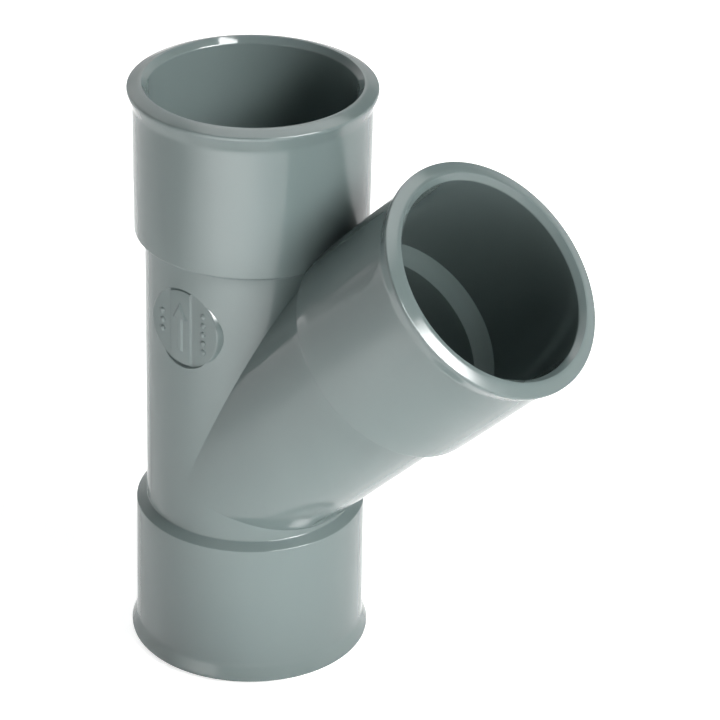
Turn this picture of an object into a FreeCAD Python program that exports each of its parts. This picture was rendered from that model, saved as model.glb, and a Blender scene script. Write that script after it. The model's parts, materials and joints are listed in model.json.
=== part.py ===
"""Lateral wye fitting: one moulded body with three pipe sockets.

The run stands on +Z with its lower mouth on z = 0. The branch leaves the run towards +X,
at branch_angle from the run, with its axis in the XZ plane. All sizes are in millimetres
and degrees. Sizes across an axis are radii, sizes along an axis start at the nearest mouth.
"""

import FreeCAD, Part
import math
import os
import Sketcher

# Driving sizes, one cell of the sheet each
SIZES = {
    # Run and branch
    "run_length": 121.0,
    "junction_height": 40.9,
    "branch_angle": 45.0,
    "branch_length": 81.8,
    # Waterway and the tube round it
    "waterway_radius": 18.13,
    "tube_wall": 2.54,
    # Inside of a socket
    "seat_radius": 20.1,
    "socket_depth": 27.4,
    "stop_length": 3.7,
    "lead_in_width": 1.0,
    "lead_in_depth": 1.2,
    # Outside of a socket
    "socket_wall": 2.8,
    "socket_draft": 0.16,
    "run_shoulder": 30.5,
    "branch_shoulder": 31.7,
    "shoulder_slope": 1.2,
    # Rim round a mouth
    "rim_flare": 1.03,
    "rim_bevel_width": 2.3,
    "rim_bevel_depth": 0.9,
    "rim_edge_round": 0.35,
    "rim_band": 0.6,
    "rim_slope": 2.6,
    # Round marking pad on the side of the run
    "pad_radius": 8.1,
    "pad_height": 76.3,
    "pad_sink": 0.62,
    "pad_wall_angle": 35.0,
    # Raised strip across the marking pad
    "strip_left": 3.5,
    "strip_right": 1.9,
    "strip_rise": 0.35,
    "strip_wall_angle": 30.0,
}

# Sizes that follow from the driving ones
DERIVED = {
    "tube_radius": "=waterway_radius + tube_wall",
    "socket_radius": "=seat_radius + socket_wall",
    "rim_radius": "=seat_radius + socket_wall + rim_flare",
    "pad_reach": "=waterway_radius + tube_wall - pad_sink",
}


def write_sheet(doc):
    """Put every size in one sheet, each under its own name."""
    sheet = doc.addObject("Spreadsheet::Sheet", "Sizes")
    cells = {name: str(value) for name, value in SIZES.items()}
    cells.update(DERIVED)
    for row, (name, text) in enumerate(cells.items(), start=1):
        sheet.set(f"A{row}", name)
        sheet.set(f"B{row}", text)
        sheet.setAlias(f"B{row}", name)
    doc.recompute()
    return sheet


def sized(expression):
    """Turn the bare names in an expression into cells of the sheet."""
    words = expression.split()
    return " ".join(f"Sizes.{word}" if word[0].isalpha() else word for word in words)


def origin_plane(body, role):
    return next(plane for plane in body.Origin.OriginFeatures if plane.Role == role)


def new_sketch(body, name):
    """A sketch on the plane of the two axes: across is +X, along is +Z."""
    sketch = body.newObject("Sketcher::SketchObject", name)
    sketch.AttachmentSupport = [(origin_plane(body, "XZ_Plane"), "")]
    sketch.MapMode = "FlatFace"
    return sketch


def bind(sketch, kind, ids, expression):
    """Add one dimension to the sketch, driven by the sheet."""
    driven = sized(expression)
    start = float(sketch.evalExpression(driven))
    index = sketch.addConstraint(Sketcher.Constraint(kind, *ids, start))
    sketch.setExpression(f"Constraints[{index}]", driven)


def pin(sketch, geometry, vertex, across, along):
    """Hold a vertex at its place, on an axis of the sketch where the place is zero."""
    horizontal_axis, vertical_axis, origin = -1, -2, (-1, 1)
    if across == "0":
        sketch.addConstraint(Sketcher.Constraint("PointOnObject", geometry, vertex, vertical_axis))
    else:
        bind(sketch, "DistanceX", (*origin, geometry, vertex), across)
    if along == "0":
        sketch.addConstraint(Sketcher.Constraint("PointOnObject", geometry, vertex, horizontal_axis))
    else:
        bind(sketch, "DistanceY", (*origin, geometry, vertex), along)


def round_corner(sketch, corner, place, before, after, sides, radius):
    """Put an arc between two sides, tangent to both, and keep their corner as a point."""
    side_in, side_out = sides
    back = (before - place).normalize()
    ahead = (after - place).normalize()
    bisector = (back + ahead).normalize()
    half_angle = math.acos(back.dot(ahead)) / 2
    size = float(sketch.evalExpression(sized(radius)))
    centre = place + bisector * (size / math.sin(half_angle))
    start = place + back * (size / math.tan(half_angle))
    end = place + ahead * (size / math.tan(half_angle))
    middle = centre - bisector * size
    arc = sketch.addGeometry(Part.Arc(start, middle, end), False)
    turns_left = back.cross(ahead).z < 0
    arc_in, arc_out = (1, 2) if turns_left else (2, 1)
    sketch.addConstraint(Sketcher.Constraint("Tangent", side_in, 2, arc, arc_in))
    sketch.addConstraint(Sketcher.Constraint("Tangent", arc, arc_out, side_out, 1))
    point = sketch.addGeometry(Part.Point(place), True)
    sketch.addConstraint(Sketcher.Constraint("PointOnObject", point, 1, side_in))
    sketch.addConstraint(Sketcher.Constraint("PointOnObject", point, 1, side_out))
    bind(sketch, "Radius", (arc,), radius)
    pin(sketch, point, 1, *corner[:2])


def tangent_length(places, index, radius):
    """How much of each side the round at a corner takes away."""
    place = places[index]
    back = (places[index - 1] - place).normalize()
    ahead = (places[(index + 1) % len(places)] - place).normalize()
    return radius / math.tan(math.acos(back.dot(ahead)) / 2)


def draw_outline(sketch, corners):
    """Close an outline through corners, each (across, along) or (across, along, round)."""
    number = lambda text: float(sketch.evalExpression(sized(text)))
    places = [FreeCAD.Vector(number(corner[0]), number(corner[1]), 0) for corner in corners]
    trims = []
    for index, corner in enumerate(corners):
        trims.append(tangent_length(places, index, number(corner[2])) if len(corner) > 2 else 0.0)
    sides = []
    for index, place in enumerate(places):
        following = (index + 1) % len(places)
        along = (places[following] - place).normalize()
        start = place + along * trims[index]
        end = places[following] - along * trims[following]
        sides.append(sketch.addGeometry(Part.LineSegment(start, end), False))
    for index, corner in enumerate(corners):
        side_in, side_out = sides[index - 1], sides[index]
        if len(corner) > 2:
            before, after = places[index - 1], places[(index + 1) % len(places)]
            round_corner(sketch, corner, places[index], before, after, (side_in, side_out), corner[2])
        else:
            sketch.addConstraint(Sketcher.Constraint("Coincident", side_in, 2, side_out, 1))
            pin(sketch, side_out, 1, *corner)


def placed(mouth, inward, steps):
    """Set a list of (radius, depth, round) against a mouth, looking inward from it."""
    corners = []
    for radius, depth, *edge in steps:
        along = f"{mouth} {inward} ( {depth} )" if mouth != "0" else depth
        corners.append((radius, along, *edge))
    return corners


def socket_outside(mouth, inward, shoulder):
    """Outer wall of a socket from the rim to the tube."""
    return placed(mouth, inward, [
        ("rim_radius - rim_bevel_width", "0"),
        ("rim_radius", "rim_bevel_depth", "rim_edge_round"),
        ("rim_radius", "rim_bevel_depth + rim_band"),
        ("socket_radius", "rim_bevel_depth + rim_band + rim_slope"),
        ("socket_radius - socket_draft", shoulder),
        ("tube_radius", f"{shoulder} + shoulder_slope"),
    ])


def socket_inside(mouth, inward):
    """Inner wall of a socket: lead-in, straight seat for the pipe and the pipe's stop."""
    return placed(mouth, inward, [
        ("seat_radius + lead_in_width", "0"),
        ("seat_radius", "lead_in_depth"),
        ("seat_radius", "socket_depth"),
        ("waterway_radius", "socket_depth + stop_length"),
    ])


def turn_to_branch(sketch):
    """Move a sketch to the junction and turn its upright axis onto the branch."""
    clockwise = FreeCAD.Vector(0, 0, -1)
    turned = FreeCAD.Rotation(clockwise, SIZES["branch_angle"])
    sketch.AttachmentOffset = FreeCAD.Placement(FreeCAD.Vector(0, 0, 0), turned)
    sketch.setExpression("AttachmentOffset.Rotation.Angle", sized("branch_angle"))
    sketch.setExpression("AttachmentOffset.Base.y", sized("junction_height"))


def revolve(body, kind, name, sketch):
    """Turn an outline once round its own upright axis, as material or as a cut."""
    feature = body.newObject(kind, name)
    feature.Profile = sketch
    feature.ReferenceAxis = (sketch, ["V_Axis"])
    feature.Angle = 360.0
    sketch.Visibility = False
    return feature


def add_run(body):
    """Outside of the run: lower socket, tube and upper socket in one outline."""
    sketch = new_sketch(body, "run_outline")
    lower = socket_outside("0", "+", "run_shoulder")
    upper = socket_outside("run_length", "-", "run_shoulder")
    draw_outline(sketch, [("0", "0"), *lower, *reversed(upper), ("0", "run_length")])
    revolve(body, "PartDesign::Revolution", "run_outside", sketch)


def add_branch(body):
    """Outside of the branch, from the run's axis to the branch mouth."""
    sketch = new_sketch(body, "branch_outline")
    turn_to_branch(sketch)
    outer = socket_outside("branch_length", "-", "branch_shoulder")
    foot = [("0", "0"), ("tube_radius", "0")]
    draw_outline(sketch, [*foot, *reversed(outer), ("0", "branch_length")])
    revolve(body, "PartDesign::Revolution", "branch_outside", sketch)


def cut_run(body):
    """Waterway of the run with a socket at each end."""
    sketch = new_sketch(body, "run_bore_outline")
    lower = socket_inside("0", "+")
    upper = socket_inside("run_length", "-")
    draw_outline(sketch, [("0", "0"), *lower, *reversed(upper), ("0", "run_length")])
    revolve(body, "PartDesign::Groove", "run_bore", sketch)


def cut_branch(body):
    """Waterway of the branch, which opens into the run at the junction."""
    sketch = new_sketch(body, "branch_bore_outline")
    turn_to_branch(sketch)
    inner = socket_inside("branch_length", "-")
    foot = [("0", "0"), ("waterway_radius", "0")]
    draw_outline(sketch, [*foot, *reversed(inner), ("0", "branch_length")])
    revolve(body, "PartDesign::Groove", "branch_bore", sketch)


def pad_face_sketch(body, name):
    """A sketch on the flat face of the marking pad, on the -Y side of the run."""
    sketch = new_sketch(body, name)
    sketch.setExpression("AttachmentOffset.Base.z", sized("pad_reach"))
    return sketch


def extrude(body, kind, name, sketch, length, wall_angle, inward):
    """Draw an outline out of the pad's face or into the wall, with sloping sides."""
    feature = body.newObject(kind, name)
    feature.Profile = sketch
    feature.setExpression("Length", sized(length))
    feature.setExpression("TaperAngle", sized(wall_angle))
    feature.Reversed = inward
    sketch.Visibility = False
    return feature


def pad_circle(body, name):
    """The marking pad's round outline."""
    sketch = pad_face_sketch(body, name)
    height = SIZES["pad_height"]
    middle = FreeCAD.Vector(0, height, 0)
    upright = FreeCAD.Vector(0, 0, 1)
    circle = sketch.addGeometry(Part.Circle(middle, upright, SIZES["pad_radius"]), False)
    bind(sketch, "Radius", (circle,), "pad_radius")
    pin(sketch, circle, 3, "0", "pad_height")
    return sketch


def add_marking_pad(body):
    """Flat round pad: proud of the tube at its sides and sunk into it at its middle."""
    boss = pad_circle(body, "pad_boss_outline")
    extrude(body, "PartDesign::Pad", "pad_boss", boss, "tube_wall", "pad_wall_angle", True)
    recess = pad_circle(body, "pad_recess_outline")
    extrude(body, "PartDesign::Pocket", "pad_recess", recess, "tube_wall", "pad_wall_angle", True)


def add_strip(body):
    """Raised strip from edge to edge of the marking pad, between two upright sides."""
    sketch = pad_face_sketch(body, "strip_outline")
    radius, height = SIZES["pad_radius"], SIZES["pad_height"]
    left, right = -SIZES["strip_left"], SIZES["strip_right"]
    rise_left = math.sqrt(radius ** 2 - left ** 2)
    rise_right = math.sqrt(radius ** 2 - right ** 2)
    at = lambda across, above: FreeCAD.Vector(across, height + above, 0)
    left_side = sketch.addGeometry(Part.LineSegment(at(left, rise_left), at(left, -rise_left)), False)
    foot = sketch.addGeometry(Part.Arc(at(left, -rise_left), at(0, -radius), at(right, -rise_right)), False)
    right_side = sketch.addGeometry(Part.LineSegment(at(right, -rise_right), at(right, rise_right)), False)
    head = sketch.addGeometry(Part.Arc(at(right, rise_right), at(0, radius), at(left, rise_left)), False)
    ring = [left_side, foot, right_side, head]
    for index, side in enumerate(ring):
        following = ring[(index + 1) % len(ring)]
        sketch.addConstraint(Sketcher.Constraint("Coincident", side, 2, following, 1))
    for side in (left_side, right_side):
        sketch.addConstraint(Sketcher.Constraint("Vertical", side))
    sketch.addConstraint(Sketcher.Constraint("Coincident", foot, 3, head, 3))
    bind(sketch, "Radius", (foot,), "pad_radius")
    bind(sketch, "Radius", (head,), "pad_radius")
    pin(sketch, foot, 3, "0", "pad_height")
    bind(sketch, "DistanceX", (left_side, 1, -1, 1), "strip_left")
    bind(sketch, "DistanceX", (-1, 1, right_side, 1), "strip_right")
    extrude(body, "PartDesign::Pad", "strip", sketch, "strip_rise", "0 - strip_wall_angle", False)


def make_wye_body(doc):
    """The whole fitting: outer walls first, then the marking pad, then the waterways."""
    body = doc.addObject("PartDesign::Body", "wye_body")
    body.Label = "wye_body"
    body.Placement = FreeCAD.Placement()
    add_run(body)
    add_branch(body)
    add_marking_pad(body)
    add_strip(body)
    cut_run(body)
    cut_branch(body)
    return body


def check(doc, bodies):
    """Stop if a feature failed or a body has no sound solid."""
    doc.recompute()
    for item in doc.Objects:
        if "Invalid" in item.State or "Error" in item.State:
            raise RuntimeError(f"{item.Name} did not compute: {item.State}")
    for body in bodies:
        shape = body.Shape
        if shape.isNull() or not shape.isValid() or len(shape.Solids) != 1:
            raise RuntimeError(f"{body.Label} is not one sound solid")


def main():
    doc = FreeCAD.newDocument("lateral_wye")
    write_sheet(doc)
    bodies = [make_wye_body(doc)]
    check(doc, bodies)
    os.makedirs("parts", exist_ok=True)
    for body in bodies:
        body.Shape.exportStep(f"parts/{body.Label}.step")


main()
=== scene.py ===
"""Looks of the lateral wye fitting: one glossy grey moulding on a pale studio floor."""

import json
import math

import bpy
import bmesh
from mathutils import Matrix, Vector


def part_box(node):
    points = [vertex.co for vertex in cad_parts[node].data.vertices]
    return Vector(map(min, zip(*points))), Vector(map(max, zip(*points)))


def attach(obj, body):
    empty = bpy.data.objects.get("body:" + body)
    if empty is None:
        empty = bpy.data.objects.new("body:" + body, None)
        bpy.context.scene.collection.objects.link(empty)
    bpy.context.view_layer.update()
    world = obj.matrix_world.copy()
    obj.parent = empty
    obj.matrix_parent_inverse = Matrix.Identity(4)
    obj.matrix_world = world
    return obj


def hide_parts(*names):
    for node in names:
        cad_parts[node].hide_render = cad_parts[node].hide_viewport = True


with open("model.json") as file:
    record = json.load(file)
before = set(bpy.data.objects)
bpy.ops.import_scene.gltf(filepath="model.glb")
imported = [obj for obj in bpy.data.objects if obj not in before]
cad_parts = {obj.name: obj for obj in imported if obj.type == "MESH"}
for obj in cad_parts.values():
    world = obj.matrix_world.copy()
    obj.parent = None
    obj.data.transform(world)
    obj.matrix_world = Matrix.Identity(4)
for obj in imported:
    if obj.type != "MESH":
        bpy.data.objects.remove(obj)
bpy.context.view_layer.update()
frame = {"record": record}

MM = 0.001
UP = Vector((0, 0, 1))

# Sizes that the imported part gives, in millimetres
mounts = {mount["name"]: mount for mount in frame["record"]["mounts"]}
RUN_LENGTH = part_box("wye_body")[1].z / MM
SEAT_RADIUS = mounts["branch_socket"]["dims"]["r_mm"]
BRANCH_DIRECTION = Vector(mounts["branch_socket"]["axis"]).normalized()

# Junction and branch
JUNCTION_HEIGHT = 40.9
BRANCH_LENGTH = 81.8

# Waterway, tube and socket, measured from an axis or from the nearest mouth
WATERWAY_RADIUS = 18.13
TUBE_RADIUS = 20.67
SOCKET_DEPTH = 27.4
STOP_LENGTH = 3.7
ENTRY_WIDTH = 0.05
ENTRY_LENGTH = 8.0
LEAD_IN_WIDTH = 1.0
LEAD_IN_DEPTH = 1.2
SOCKET_RADIUS = 22.9
SOCKET_DRAFT = 0.16
RUN_SHOULDER = 30.5
BRANCH_SHOULDER = 31.7
SHOULDER_SLOPE = 1.2
RIM_RADIUS = 23.93
RIM_BEVEL_WIDTH = 2.3
RIM_BEVEL_DEPTH = 0.9
RIM_BAND = 0.6
RIM_SLOPE = 2.6

# Round marking pad on the side of the run, and the raised strip across it
PAD_RADIUS = 8.1
PAD_HEIGHT = 76.3
PAD_FACE = TUBE_RADIUS - 0.62
PAD_WALL_ANGLE = math.radians(24.0)
STRIP_LEFT = 3.5
STRIP_RIGHT = 1.9
STRIP_RISE = 0.35
STRIP_WALL_ANGLE = math.radians(45.0)

# Plain raised marks on the pad: a flow arrow on the strip and a row of studs on each side of it
ARROW_MIDDLE = -0.8
ARROW_LENGTH = 10.6
ARROW_HEAD_LENGTH = 3.6
ARROW_HEAD_WIDTH = 3.6
ARROW_SHAFT_WIDTH = 1.3
ARROW_RISE = 0.34
STUD_RADIUS = 0.62
STUD_RISE = 0.36
STUD_SPACING = 1.9
STUD_ROWS = {-5.5: 3, 4.6: 5}

# Rounded edges
RIM_BEVEL_ROUND = 2.2
RIM_EDGE_ROUND = 0.35
RIM_BAND_ROUND = 0.3
RIM_ROOT_ROUND = 3.5
LEAD_IN_ROUND = 0.6
STOP_EDGE_ROUND = 0.3
SHOULDER_EDGE_ROUND = 0.3
SHOULDER_ROOT_ROUND = 0.4
PAD_EDGE_ROUND = 0.35
RELIEF_EDGE_ROUND = 0.06

# Fineness of the shapes, with lengths in millimetres and the smooth angle in degrees
TURN_STEPS = 256
RING_GAP = 4.0
ROUND_STEP = math.radians(9.0)
RELIEF_ROUND_STEPS = 4
STRIP_ARC_STEPS = 12
STUD_SEGMENTS = 32
STUD_RINGS = 16
ON_AXIS = 1e-9
CUT_PAST_MOUTH = 1.0
RELIEF_ROOT = 0.5
WELD_DISTANCE = 0.002
SMOOTH_ANGLE = 12.0

# Plastic: colours, skin roughness, and swells in a metre for each noise
DEEP_GREY = (0.133, 0.172, 0.168, 1)
PALE_GREY = (0.150, 0.189, 0.185, 1)
FLOW_STRETCH = (1, 1, 0.35)
FLOW_SWELLS = 38
SKIN_ROUGHNESS = (0.06, 0.11)
SKIN_SWELLS = 60
SCUFF_ROUGHNESS = 0.12
SCUFF_STRETCH = (1, 1, 0.25)
SCUFF_SWELLS = 900
SCUFF_FULL = 0.70
SCUFF_GONE = 0.66
PLASTIC_IOR = 1.54
# Swells in a metre and depth in metres, coarse tool ripple first
SKIN_RELIEF = [(110, 0.00004), (1600, 0.000003)]

# Studio, with lengths in metres; the ceiling sets in between two heights on a unit sphere
FITTING_MIDDLE = Vector((0.02, 0, 0.06))
SOFTBOX_DISTANCE = 1.2
POOL_HEIGHT = 0.001
FLOOR_HALF_WIDTH = 3.0
FLOOR_GREY = 0.75
FLOOR_FADE = (0.2, 0.7)
FLOOR_LIFT = 0.75
GLOSS_LIFT = 0.5
AMBIENT = 0.05
WALL_GLOW = 0.8
CEILING_GLOW = 0.1
CEILING_FADE = (0.2, 0.5)
# Name, azimuth, elevation, size, brightness, soft share of the face,
# and whether matt and gloss show it
SOFTBOXES = [
    ("key_softbox", 89, 33, (0.75, 0.75), 29, 0.8, (True, True)),
    ("side_softbox", 92, 16, (1.1, 0.6), 3.0, 1.0, (True, True)),
    ("rear_softbox", 235, 40, (1.6, 1.1), 1.2, 0.6, (True, True)),
    ("front_panel", 350, 6, (1.2, 0.5), 2.2, 0.6, (True, True)),
    ("back_panel", 255, 4, (1.6, 0.7), 8.0, 0.6, (True, False)),
    ("overhead_panel", 200, 72, (1.3, 1.3), 2.4, 0.4, (False, True)),
    ("window_panel", 73, 49, (0.32, 0.34), 20, 0.12, (False, True)),
]
# Name, azimuth, distance, size, brightness, soft share of the face, and what shows it
FLOOR_POOLS = [
    ("floor_pool", 18, 0.27, 0.46, 2.9, 0.9, (True, True)),
    ("foot_pool", 45, 0.098, 0.13, 3.4, 0.8, (True, False)),
]

# Camera, with lengths in millimetres, and in metres how far it sees
VIEW_AZIMUTH = math.radians(37.567)
VIEW_ELEVATION = math.radians(28.654)
VIEW_ROLL = math.radians(1.317)
VIEW_DISTANCE = 705.58
VIEW_SIDE = -21.454
VIEW_RISE = -2.143
VIEW_AIM = Vector((0, 0, 58.42))
LENS_LENGTH = 178.94
SENSOR_WIDTH = 36.0
VIEW_REACH = 50


def rounded_outline(corners):
    """Points of an open outline whose corners are (radius, height) or (radius, height, round)."""
    points = []
    places = [Vector(corner[:2]) for corner in corners]
    for index, corner in enumerate(corners):
        place = places[index]
        if len(corner) < 3:
            points.append(place)
            continue
        back = (places[index - 1] - place).normalized()
        ahead = (places[index + 1] - place).normalized()
        half_angle = back.angle(ahead) / 2
        centre = place + (back + ahead).normalized() * (corner[2] / math.sin(half_angle))
        reach = corner[2] / math.tan(half_angle)
        start = place + back * reach - centre
        end = place + ahead * reach - centre
        turn = start.angle_signed(end)
        steps = max(2, math.ceil(abs(turn) / ROUND_STEP))
        for step in range(steps + 1):
            points.append(centre + Matrix.Rotation(-turn * step / steps, 2) @ start)
    return points


def with_rings(points):
    """The outline with more points on its long sides, which keeps the shading near a seam true."""
    closer = [points[0]]
    for start, end in zip(points, points[1:]):
        start, end = Vector(start), Vector(end)
        on_axis = min(start.x, end.x) < ON_AXIS
        steps = 1 if on_axis else math.ceil((end - start).length / RING_GAP)
        closer += [start.lerp(end, step / steps) for step in range(1, steps)] + [end]
    return closer


def turned(name, points, place=Matrix()):
    """A closed solid turned from an outline that starts and ends on the axis."""
    shape = bmesh.new()
    rings = []
    for point in with_rings(points):
        if point.x < ON_AXIS:
            rings.append([shape.verts.new((0, 0, point.y * MM))])
            continue
        ring = []
        across, height = point.x * MM, point.y * MM
        for step in range(TURN_STEPS):
            angle = math.tau * step / TURN_STEPS
            spot = (across * math.sin(angle), -across * math.cos(angle), height)
            ring.append(shape.verts.new(spot))
        rings.append(ring)
    for lower, upper in zip(rings, rings[1:]):
        for step in range(TURN_STEPS):
            following = (step + 1) % TURN_STEPS
            if len(lower) == 1:
                shape.faces.new((lower[0], upper[following], upper[step]))
            elif len(upper) == 1:
                shape.faces.new((lower[step], lower[following], upper[0]))
            else:
                shape.faces.new((lower[step], lower[following], upper[following], upper[step]))
    shape.transform(place)
    mesh = bpy.data.meshes.new(name)
    shape.to_mesh(mesh)
    shape.free()
    thing = bpy.data.objects.new(name, mesh)
    bpy.context.scene.collection.objects.link(thing)
    return thing


def combine(base, tool, operation):
    """Join a second solid to the first, or cut it away, and drop the second."""
    modifier = base.modifiers.new(operation.lower(), "BOOLEAN")
    modifier.operation = operation
    modifier.solver = "MANIFOLD"
    modifier.object = tool
    graph = bpy.context.evaluated_depsgraph_get()
    mesh = bpy.data.meshes.new_from_object(base.evaluated_get(graph))
    base.modifiers.remove(modifier)
    old = base.data
    base.data = mesh
    bpy.data.meshes.remove(old)
    bpy.data.objects.remove(tool)


def solid_between(name, loops, place):
    """A closed solid through loops of points, each with the same number of points."""
    shape = bmesh.new()
    rings = [[shape.verts.new(Vector(point) * MM) for point in loop] for loop in loops]
    shape.faces.new(rings[0])
    shape.faces.new(rings[-1])
    for lower, upper in zip(rings, rings[1:]):
        for index in range(len(lower)):
            following = (index + 1) % len(lower)
            shape.faces.new((lower[index], lower[following], upper[following], upper[index]))
    bmesh.ops.recalc_face_normals(shape, faces=shape.faces)
    shape.transform(place)
    mesh = bpy.data.meshes.new(name)
    shape.to_mesh(mesh)
    shape.free()
    thing = bpy.data.objects.new(name, mesh)
    bpy.context.scene.collection.objects.link(thing)
    return thing


def drawn_in(outline, distance):
    """An outline, counterclockwise, with every side moved inward by the same distance."""
    points = [Vector(point) for point in outline]
    moved = []
    for index, point in enumerate(points):
        ahead = (points[(index + 1) % len(points)] - point).normalized()
        behind = (point - points[index - 1]).normalized()
        normal_ahead = Vector((-ahead.y, ahead.x))
        normal_behind = Vector((-behind.y, behind.x))
        middle = (normal_ahead + normal_behind).normalized()
        moved.append(point + middle * (distance / middle.dot(normal_ahead)))
    return moved


def raised(name, outline, base, rise, wall_angle, place):
    """A low raised shape on a face at base, with sloping walls and a rounded top edge."""
    slope = math.tan(wall_angle)
    wall_inset = (rise - RELIEF_EDGE_ROUND) * slope
    levels = [(-RELIEF_ROOT, -RELIEF_ROOT * slope)]
    for step in range(RELIEF_ROUND_STEPS + 1):
        turn = math.radians(90.0 * step / RELIEF_ROUND_STEPS)
        height = rise - RELIEF_EDGE_ROUND * (1 - math.sin(turn))
        levels.append((height, wall_inset + RELIEF_EDGE_ROUND * (1 - math.cos(turn))))
    loops = []
    for height, inset in levels:
        loops.append([(point.x, point.y, base + height) for point in drawn_in(outline, inset)])
    return solid_between(name, loops, place)


def from_mouth(mouth, inward, steps):
    """Heights for a list of (radius, depth, round), counted inward from a mouth."""
    return [(step[0], mouth + inward * step[1], *step[2:]) for step in steps]


def socket_outside(mouth, inward, shoulder):
    """Outer wall of a socket: rim, flare, wall and shoulder."""
    band_end = RIM_BEVEL_DEPTH + RIM_BAND
    return from_mouth(mouth, inward, [
        (RIM_RADIUS - RIM_BEVEL_WIDTH, 0, RIM_BEVEL_ROUND),
        (RIM_RADIUS, RIM_BEVEL_DEPTH, RIM_EDGE_ROUND),
        (RIM_RADIUS, band_end, RIM_BAND_ROUND),
        (SOCKET_RADIUS, band_end + RIM_SLOPE, RIM_ROOT_ROUND),
        (SOCKET_RADIUS - SOCKET_DRAFT, shoulder, SHOULDER_EDGE_ROUND),
        (TUBE_RADIUS, shoulder + SHOULDER_SLOPE, SHOULDER_ROOT_ROUND),
    ])


def socket_inside(mouth, inward):
    """Inner wall of a socket: lead-in, entry taper, seat and stop."""
    return from_mouth(mouth, inward, [
        (SEAT_RADIUS + ENTRY_WIDTH + LEAD_IN_WIDTH, 0),
        (SEAT_RADIUS + ENTRY_WIDTH, LEAD_IN_DEPTH, LEAD_IN_ROUND),
        (SEAT_RADIUS, LEAD_IN_DEPTH + ENTRY_LENGTH),
        (SEAT_RADIUS, SOCKET_DEPTH),
        (WATERWAY_RADIUS, SOCKET_DEPTH + STOP_LENGTH, STOP_EDGE_ROUND),
    ])


def branch_place():
    """Moves a solid turned about +Z from its own zero to the junction, along the branch."""
    tilt = UP.rotation_difference(BRANCH_DIRECTION).to_matrix().to_4x4()
    return Matrix.Translation((0, 0, JUNCTION_HEIGHT * MM)) @ tilt


def pad_place():
    """Turns +Z of a solid to face -Y, level with the marking pad."""
    facing = Matrix(((1, 0, 0), (0, 0, -1), (0, 1, 0))).to_4x4()
    return Matrix.Translation((0, 0, PAD_HEIGHT * MM)) @ facing


def strip_outline():
    """The strip's outline on the pad: two upright sides between arcs of the pad's edge."""
    left = math.asin(STRIP_LEFT / PAD_RADIUS)
    right = math.asin(STRIP_RIGHT / PAD_RADIUS)
    steps = STRIP_ARC_STEPS
    turns = [-left + (left + right) * step / steps for step in range(steps + 1)]
    foot = [(PAD_RADIUS * math.sin(turn), -PAD_RADIUS * math.cos(turn)) for turn in turns]
    return foot + [(across, -along) for across, along in reversed(foot)]


def arrow_outline():
    """A plain arrow that points up the run."""
    middle, shaft, head = ARROW_MIDDLE, ARROW_SHAFT_WIDTH / 2, ARROW_HEAD_WIDTH / 2
    foot, tip = -ARROW_LENGTH / 2, ARROW_LENGTH / 2
    neck = tip - ARROW_HEAD_LENGTH
    return [
        (middle - shaft, foot), (middle + shaft, foot), (middle + shaft, neck),
        (middle + head, neck), (middle, tip), (middle - head, neck), (middle - shaft, neck),
    ]


def stud_rows():
    """Geometry Nodes tree: a level row of low round studs, with named sizes."""
    tree = bpy.data.node_groups.new("row_of_studs", "GeometryNodeTree")
    sizes = {
        "Count": "NodeSocketInt", "Spacing": "NodeSocketFloat",
        "Radius": "NodeSocketFloat", "Rise": "NodeSocketFloat",
    }
    for name, kind in sizes.items():
        tree.interface.new_socket(name, in_out="INPUT", socket_type=kind)
    tree.interface.new_socket("Material", in_out="INPUT", socket_type="NodeSocketMaterial")
    tree.interface.new_socket("Geometry", in_out="OUTPUT", socket_type="NodeSocketGeometry")
    add, link = tree.nodes.new, tree.links.new
    source, result = add("NodeGroupInput"), add("NodeGroupOutput")
    step, row = add("ShaderNodeCombineXYZ"), add("GeometryNodeMeshLine")
    link(source.outputs["Spacing"], step.inputs["Y"])
    link(source.outputs["Count"], row.inputs["Count"])
    link(step.outputs[0], row.inputs["Offset"])
    stud = add("GeometryNodeMeshUVSphere")
    stud.inputs["Segments"].default_value = STUD_SEGMENTS
    stud.inputs["Rings"].default_value = STUD_RINGS
    stud.inputs["Radius"].default_value = 1.0
    size, place = add("ShaderNodeCombineXYZ"), add("GeometryNodeInstanceOnPoints")
    for axis, name in (("X", "Radius"), ("Y", "Radius"), ("Z", "Rise")):
        link(source.outputs[name], size.inputs[axis])
    link(row.outputs[0], place.inputs["Points"])
    link(stud.outputs["Mesh"], place.inputs["Instance"])
    link(size.outputs[0], place.inputs["Scale"])
    real, paint = add("GeometryNodeRealizeInstances"), add("GeometryNodeSetMaterial")
    link(place.outputs[0], real.inputs[0])
    link(real.outputs[0], paint.inputs["Geometry"])
    link(source.outputs["Material"], paint.inputs["Material"])
    link(paint.outputs[0], result.inputs[0])
    return tree


def make_stud_row(tree, across, count, material, place):
    """One row of studs on the pad's face, at a distance across from its middle."""
    holder = bpy.data.objects.new("studs", bpy.data.meshes.new("studs"))
    bpy.context.scene.collection.objects.link(holder)
    modifier = holder.modifiers.new("row", "NODES")
    modifier.node_group = tree
    values = {
        "Count": count, "Spacing": STUD_SPACING * MM, "Radius": STUD_RADIUS * MM,
        "Rise": STUD_RISE * MM, "Material": material,
    }
    for socket in tree.interface.items_tree:
        if socket.name in values:
            modifier[socket.identifier] = values[socket.name]
    graph = bpy.context.evaluated_depsgraph_get()
    mesh = bpy.data.meshes.new_from_object(holder.evaluated_get(graph))
    holder.modifiers.clear()
    start = -STUD_SPACING * (count - 1) / 2
    mesh.transform(place @ Matrix.Translation((across * MM, start * MM, PAD_FACE * MM)))
    holder.data = mesh
    return holder


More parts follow.
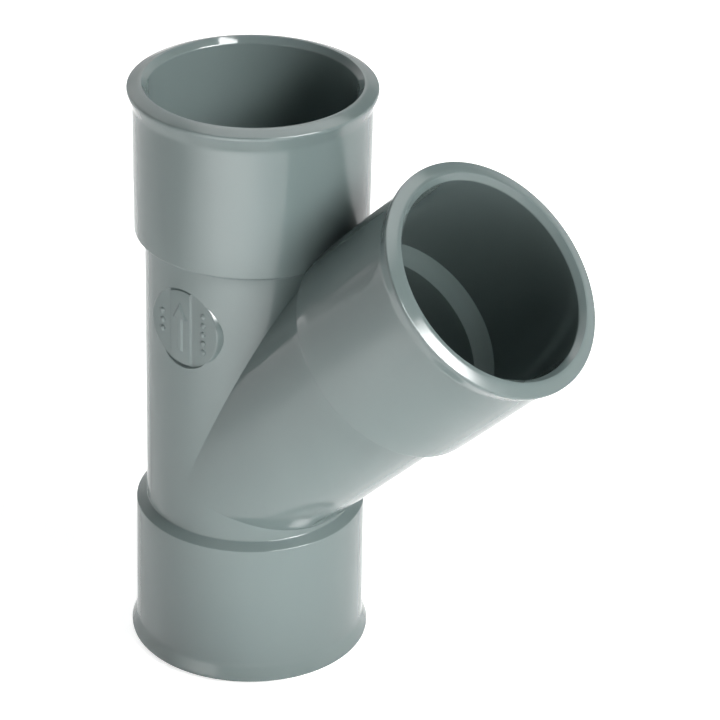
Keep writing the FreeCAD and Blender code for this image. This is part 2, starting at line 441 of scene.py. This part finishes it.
def add_marking_pad(fitting, material):
    """Flat round pad on the side of the run, with its strip and plain marks."""
    place = pad_place()
    flare = TUBE_RADIUS - WATERWAY_RADIUS
    wide = PAD_RADIUS + flare * math.tan(PAD_WALL_ANGLE)
    edge = (PAD_RADIUS, PAD_FACE, PAD_EDGE_ROUND)
    boss = [(0, PAD_FACE - flare), (wide, PAD_FACE - flare), edge, (0, PAD_FACE)]
    combine(fitting, turned("pad_boss", rounded_outline(boss), place), "UNION")
    recess = [(0, PAD_FACE), edge, (wide, PAD_FACE + flare), (0, PAD_FACE + flare)]
    combine(fitting, turned("pad_recess", rounded_outline(recess), place), "DIFFERENCE")
    marks = raised("strip", strip_outline(), PAD_FACE, STRIP_RISE, STRIP_WALL_ANGLE, place)
    strip_top = PAD_FACE + STRIP_RISE
    arrow = raised("arrow", arrow_outline(), strip_top, ARROW_RISE, STRIP_WALL_ANGLE, place)
    combine(marks, arrow, "UNION")
    tree = stud_rows()
    for across, count in STUD_ROWS.items():
        combine(marks, make_stud_row(tree, across, count, material, place), "UNION")
    combine(fitting, marks, "UNION")


def make_fitting(material):
    """The whole moulding as one closed mesh."""
    lower = socket_outside(0, 1, RUN_SHOULDER)
    upper = socket_outside(RUN_LENGTH, -1, RUN_SHOULDER)
    run = rounded_outline([(0, 0), *lower, *reversed(upper), (0, RUN_LENGTH)])
    fitting = turned("fitting", run)
    outer = socket_outside(BRANCH_LENGTH, -1, BRANCH_SHOULDER)
    branch = rounded_outline([(0, 0), (TUBE_RADIUS, 0), *reversed(outer), (0, BRANCH_LENGTH)])
    combine(fitting, turned("branch", branch, branch_place()), "UNION")
    add_marking_pad(fitting, material)
    lower = socket_inside(0, 1)
    upper = socket_inside(RUN_LENGTH, -1)
    low, high = -CUT_PAST_MOUTH, RUN_LENGTH + CUT_PAST_MOUTH
    foot, top = [(0, low), (lower[0][0], low)], [(upper[0][0], high), (0, high)]
    bore = rounded_outline([*foot, *lower, *reversed(upper), *top])
    combine(fitting, turned("run_bore", bore), "DIFFERENCE")
    inner = socket_inside(BRANCH_LENGTH, -1)
    high = BRANCH_LENGTH + CUT_PAST_MOUTH
    mouth = [(inner[0][0], high), (0, high)]
    bore = rounded_outline([(0, 0), (WATERWAY_RADIUS, 0), *reversed(inner), *mouth])
    combine(fitting, turned("branch_bore", bore, branch_place()), "DIFFERENCE")
    merge_close_points(fitting)
    return fitting


def merge_close_points(thing):
    """Weld the tiny edges that joining and cutting leave."""
    shape = bmesh.new()
    shape.from_mesh(thing.data)
    bmesh.ops.remove_doubles(shape, verts=shape.verts, dist=WELD_DISTANCE * MM)
    shape.to_mesh(thing.data)
    shape.free()


def smooth_by_angle(thing, degrees):
    """Smooth shading with hard edges only where faces meet at a clear angle."""
    mesh = thing.data
    mesh.shade_smooth()
    mesh.set_sharp_from_angle(angle=math.radians(degrees))


def math_node(nodes, links, operation, *values):
    """A Math node whose inputs are numbers or sockets."""
    node = nodes.new("ShaderNodeMath")
    node.operation = operation
    for socket, value in zip(node.inputs, values):
        if isinstance(value, (int, float)):
            socket.default_value = value
        else:
            links.new(value, socket)
    return node.outputs[0]


def fade(nodes, links, value, start, end):
    """1 before start, 0 past end and a smooth change between; either may be the larger."""
    node = nodes.new("ShaderNodeMapRange")
    node.interpolation_type = "SMOOTHSTEP"
    low, high = min(start, end), max(start, end)
    settings = {
        "From Min": low, "From Max": high,
        "To Min": float(start < end), "To Max": float(start > end),
    }
    for name, number in settings.items():
        node.inputs[name].default_value = number
    links.new(value, node.inputs["Value"])
    return node.outputs[0]


def blurred_noise(nodes, links, spot, scale, detail, stretch=(1, 1, 1)):
    """Values about 0.5 that drift over the plastic; scale counts swells in a metre."""
    place, noise = nodes.new("ShaderNodeMapping"), nodes.new("ShaderNodeTexNoise")
    place.inputs["Scale"].default_value = stretch
    noise.inputs["Scale"].default_value = scale
    noise.inputs["Detail"].default_value = detail
    links.new(spot, place.inputs["Vector"])
    links.new(place.outputs["Vector"], noise.inputs["Vector"])
    return noise.outputs["Fac"]


def spread(nodes, links, value, low, high):
    """Map the middle range of a noise onto low to high."""
    node = nodes.new("ShaderNodeMapRange")
    settings = {"From Min": 0.25, "From Max": 0.75, "To Min": low, "To Max": high}
    for name, number in settings.items():
        node.inputs[name].default_value = number
    links.new(value, node.inputs["Value"])
    return node.outputs[0]


def moulded_plastic():
    """Grey-green rigid plastic, glossy, with faint flow marks, tool ripple and scuffs."""
    material = bpy.data.materials.new("grey_moulded_plastic")
    material.use_nodes = True
    nodes, links = material.node_tree.nodes, material.node_tree.links
    shader = nodes["Principled BSDF"]
    shader.inputs["IOR"].default_value = PLASTIC_IOR
    spot = nodes.new("ShaderNodeTexCoord").outputs["Object"]

    flow = blurred_noise(nodes, links, spot, FLOW_SWELLS, 3, FLOW_STRETCH)
    colour = nodes.new("ShaderNodeMix")
    colour.data_type = "RGBA"
    colour.inputs["A"].default_value = DEEP_GREY
    colour.inputs["B"].default_value = PALE_GREY
    links.new(spread(nodes, links, flow, 0, 1), colour.inputs["Factor"])
    links.new(colour.outputs["Result"], shader.inputs["Base Color"])

    skin = blurred_noise(nodes, links, spot, SKIN_SWELLS, 4)
    haze = spread(nodes, links, skin, *SKIN_ROUGHNESS)
    handling = blurred_noise(nodes, links, spot, SCUFF_SWELLS, 2, SCUFF_STRETCH)
    scuffs = fade(nodes, links, handling, SCUFF_FULL, SCUFF_GONE)
    roughness = math_node(nodes, links, "MULTIPLY_ADD", scuffs, SCUFF_ROUGHNESS, haze)
    links.new(roughness, shader.inputs["Roughness"])

    height = None
    for scale, depth in SKIN_RELIEF:
        bump = nodes.new("ShaderNodeBump")
        bump.inputs["Strength"].default_value = 1.0
        bump.inputs["Distance"].default_value = depth
        links.new(blurred_noise(nodes, links, spot, scale, 1), bump.inputs["Height"])
        if height:
            links.new(height, bump.inputs["Normal"])
        height = bump.outputs["Normal"]
    links.new(height, shader.inputs["Normal"])
    return material


def direction(turn, rise):
    """A unit vector; turn counts from -Y towards +X, rise from level, both in radians."""
    level = math.cos(rise)
    return Vector((math.sin(turn) * level, -math.cos(turn) * level, math.sin(rise)))


def look_at_fitting():
    """The photograph's view: a long lens from above and to the right of the front."""
    back = direction(VIEW_AZIMUTH, VIEW_ELEVATION)
    level = Vector((math.cos(VIEW_AZIMUTH), math.sin(VIEW_AZIMUTH), 0))
    upright = back.cross(level)
    right = math.cos(VIEW_ROLL) * level + math.sin(VIEW_ROLL) * upright
    up = math.cos(VIEW_ROLL) * upright - math.sin(VIEW_ROLL) * level
    place = VIEW_AIM - VIEW_SIDE * right - VIEW_RISE * up + VIEW_DISTANCE * back
    lens = bpy.data.cameras.new("view")
    lens.lens = LENS_LENGTH
    lens.sensor_width = SENSOR_WIDTH
    lens.clip_end = VIEW_REACH
    camera = bpy.data.objects.new("view", lens)
    turn = Matrix((right, up, back)).transposed().to_4x4()
    camera.matrix_world = Matrix.Translation(place * MM) @ turn
    bpy.context.scene.collection.objects.link(camera)
    bpy.context.scene.camera = camera


def pale_floor():
    """Matt pale grey, lifted to white for the eye and for gloss, with the fitting's shadow kept."""
    material = bpy.data.materials.new("pale_floor")
    material.use_nodes = True
    nodes, links = material.node_tree.nodes, material.node_tree.links
    nodes.clear()
    path = nodes.new("ShaderNodeLightPath")
    gloss = math_node(nodes, links, "MULTIPLY", path.outputs["Is Glossy Ray"], GLOSS_LIFT)
    reach = nodes.new("ShaderNodeVectorMath")
    reach.operation = "LENGTH"
    links.new(nodes.new("ShaderNodeTexCoord").outputs["Object"], reach.inputs[0])
    near = fade(nodes, links, reach.outputs["Value"], *FLOOR_FADE)
    white = math_node(nodes, links, "MULTIPLY_ADD", near, FLOOR_LIFT - 1, 1.0)
    lift = math_node(nodes, links, "MULTIPLY_ADD", path.outputs["Is Camera Ray"], white, gloss)
    glow, matt = nodes.new("ShaderNodeEmission"), nodes.new("ShaderNodeBsdfDiffuse")
    links.new(lift, glow.inputs["Strength"])
    matt.inputs["Color"].default_value = (FLOOR_GREY, FLOOR_GREY, FLOOR_GREY, 1)
    both = nodes.new("ShaderNodeAddShader")
    links.new(matt.outputs[0], both.inputs[0])
    links.new(glow.outputs[0], both.inputs[1])
    links.new(both.outputs[0], nodes.new("ShaderNodeOutputMaterial").inputs["Surface"])
    material.cycles.emission_sampling = "NONE"
    return material


def add_floor():
    """A wide level floor under the lower mouth."""
    mesh = bpy.data.meshes.new("floor")
    half = FLOOR_HALF_WIDTH
    corners = [(-half, -half, 0), (half, -half, 0), (half, half, 0), (-half, half, 0)]
    mesh.from_pydata(corners, [], [(0, 1, 2, 3)])
    mesh.materials.append(pale_floor())
    floor = bpy.data.objects.new("floor", mesh)
    bpy.context.scene.collection.objects.link(floor)


def soften_edges(lamp, radiance, edge):
    """Let the lamp's brightness fall away towards the edges of its face."""
    lamp.use_nodes = True
    nodes, links = lamp.node_tree.nodes, lamp.node_tree.links
    split = nodes.new("ShaderNodeSeparateXYZ")
    links.new(nodes.new("ShaderNodeNewGeometry").outputs["Parametric"], split.inputs[0])
    level = radiance
    for axis in ("X", "Y"):
        from_edge = math_node(nodes, links, "PINGPONG", split.outputs[axis], 0.5)
        share = fade(nodes, links, from_edge, edge / 2, 0)
        level = math_node(nodes, links, "MULTIPLY", share, level)
    links.new(level, nodes["Emission"].inputs["Strength"])


def add_softbox(name, place, away, size, radiance, edge, shows):
    """A rectangular lamp at a place, with its back to a direction and soft edges to its face."""
    lamp = bpy.data.lights.new(name, "AREA")
    lamp.shape = "RECTANGLE"
    lamp.size, lamp.size_y = size
    lamp.energy = math.pi * size[0] * size[1]
    soften_edges(lamp, radiance, edge)
    box = bpy.data.objects.new(name, lamp)
    box.matrix_world = Matrix.Translation(place) @ away.to_track_quat("Z", "Y").to_matrix().to_4x4()
    box.visible_camera = False
    box.visible_diffuse, box.visible_glossy = shows
    bpy.context.collection.objects.link(box)


def around(azimuth, elevation, distance):
    """A place seen from the fitting's middle, with its angles in degrees."""
    return FITTING_MIDDLE + direction(math.radians(azimuth), math.radians(elevation)) * distance


def light_studio():
    """White surroundings for the eye, a pale wall and dim ceiling for gloss, and the lamps."""
    world = bpy.data.worlds.new("studio")
    world.use_nodes = True
    bpy.context.scene.world = world
    nodes, links = world.node_tree.nodes, world.node_tree.links
    split = nodes.new("ShaderNodeSeparateXYZ")
    links.new(nodes.new("ShaderNodeTexCoord").outputs["Generated"], split.inputs[0])
    wall = fade(nodes, links, split.outputs["Z"], *CEILING_FADE)
    seen = math_node(nodes, links, "MULTIPLY_ADD", wall, WALL_GLOW - CEILING_GLOW, CEILING_GLOW)
    path = nodes.new("ShaderNodeLightPath")
    gloss, eye = nodes.new("ShaderNodeMix"), nodes.new("ShaderNodeMix")
    gloss.inputs["A"].default_value = AMBIENT
    links.new(path.outputs["Is Glossy Ray"], gloss.inputs["Factor"])
    links.new(seen, gloss.inputs["B"])
    links.new(path.outputs["Is Camera Ray"], eye.inputs["Factor"])
    links.new(gloss.outputs["Result"], eye.inputs["A"])
    eye.inputs["B"].default_value = 1.0
    nodes["Background"].inputs["Color"].default_value = (1, 1, 1, 1)
    links.new(eye.outputs["Result"], nodes["Background"].inputs["Strength"])
    for name, azimuth, elevation, size, radiance, edge, shows in SOFTBOXES:
        place = around(azimuth, elevation, SOFTBOX_DISTANCE)
        add_softbox(name, place, place - FITTING_MIDDLE, size, radiance, edge, shows)
    for name, azimuth, distance, size, radiance, edge, shows in FLOOR_POOLS:
        turn = Matrix.Rotation(math.radians(azimuth), 4, "Z")
        place = turn @ Vector((0, -distance, POOL_HEIGHT))
        add_softbox(name, place, -UP, (size, size), radiance, edge, shows)


plastic = moulded_plastic()
fitting = make_fitting(plastic)
smooth_by_angle(fitting, SMOOTH_ANGLE)
fitting.data.materials.clear()
fitting.data.materials.append(plastic)
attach(fitting, "root")
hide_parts("wye_body")
add_floor()
light_studio()
look_at_fitting()
bpy.context.scene.view_settings.view_transform = "Standard"
